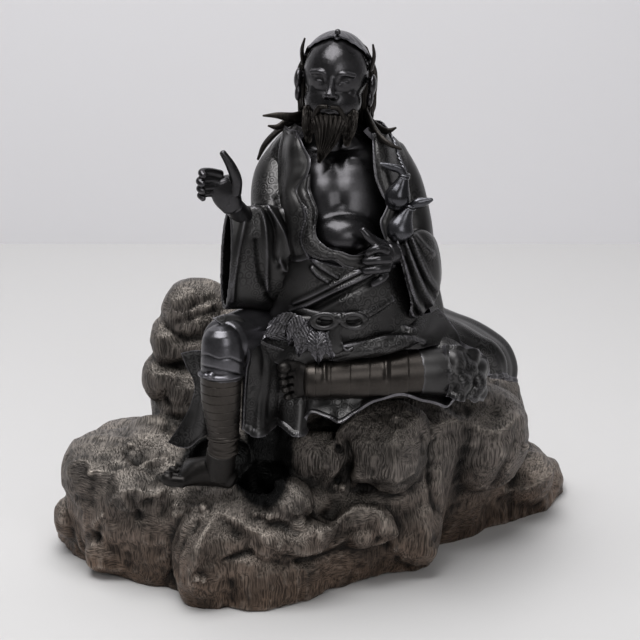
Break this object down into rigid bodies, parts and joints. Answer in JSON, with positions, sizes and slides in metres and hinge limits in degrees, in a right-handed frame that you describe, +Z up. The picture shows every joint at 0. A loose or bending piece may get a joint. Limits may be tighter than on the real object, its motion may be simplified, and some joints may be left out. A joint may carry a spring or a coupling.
{
  "type": "bronze figure sculpture",
  "caption": "Cast bronze sculpture of a robed, bearded hermit seated on a rugged rock, with a raised hand and gourds slung at the shoulder.",
  "frame": {"origin": "centre of the rock's footprint, on the ground", "axes": "+X to the figure's left hand, +Y to its back, +Z up; the figure faces -Y"},
  "size_m": [0.576, 0.382, 0.5914],
  "materials": {
    "rock_bronze": "matt brown bronze with chiselled lines",
    "cloth_bronze": "near-black patina, semi-gloss, engraved",
    "flesh_bronze": "near-black patina, polished",
    "hair_bronze": "dark brown patina, finely grooved",
    "wrap_bronze": "dark brown patina with bound rows",
    "gourd_bronze": "near-black patina, polished",
    "steel": "plain, dull"
  },
  "bodies": {
    "root": {"rock_base": "rock_bronze", "trunk": "flesh_bronze", "head": "flesh_bronze", "cap_bead": "flesh_bronze", "right_hand": "flesh_bronze", "left_hand": "flesh_bronze", "right_foot": "flesh_bronze", "left_foot": "flesh_bronze", "head_cloth": "cloth_bronze", "robe_mantle": "cloth_bronze", "right_lapel": "cloth_bronze", "left_lapel": "cloth_bronze", "right_sleeve": "cloth_bronze", "left_sleeve": "cloth_bronze", "belly_wrap": "cloth_bronze", "waist_wrap": "cloth_bronze", "lap_robe": "cloth_bronze", "front_hem": "cloth_bronze", "knee_cloth": "cloth_bronze", "right_skirt": "cloth_bronze", "left_tail": "cloth_bronze", "right_knee": "cloth_bronze", "left_knee": "cloth_bronze", "sash": "cloth_bronze", "sash_bow": "cloth_bronze", "leaf_apron": "cloth_bronze", "right_legging": "wrap_bronze", "left_legging": "wrap_bronze", "beard": "hair_bronze", "hair": "hair_bronze", "hair_lock": "hair_bronze", "right_cap_wing": "hair_bronze", "left_cap_wing": "hair_bronze", "right_ribbon_upper": "hair_bronze", "right_ribbon_lower": "hair_bronze", "right_ribbon_back": "hair_bronze", "left_ribbon": "hair_bronze", "upper_gourd": "gourd_bronze", "lower_gourd": "gourd_bronze", "upper_gourd_binding": "gourd_bronze", "lower_gourd_binding": "gourd_bronze", "gourd_cord": "gourd_bronze", "seat_stud_1": "steel", "seat_stud_2": "steel", "seat_stud_3": "steel", "seat_washer_1": "steel", "seat_washer_2": "steel", "seat_washer_3": "steel", "seat_nut_1": "steel", "seat_nut_2": "steel", "seat_nut_3": "steel", "neck_pin": "steel", "right_wrist_dowel": "steel", "left_wrist_dowel": "steel", "right_ankle_dowel": "steel", "left_ankle_dowel": "steel", "upper_gourd_rivet": "steel", "lower_gourd_rivet": "steel"}
  },
  "joints": []
}
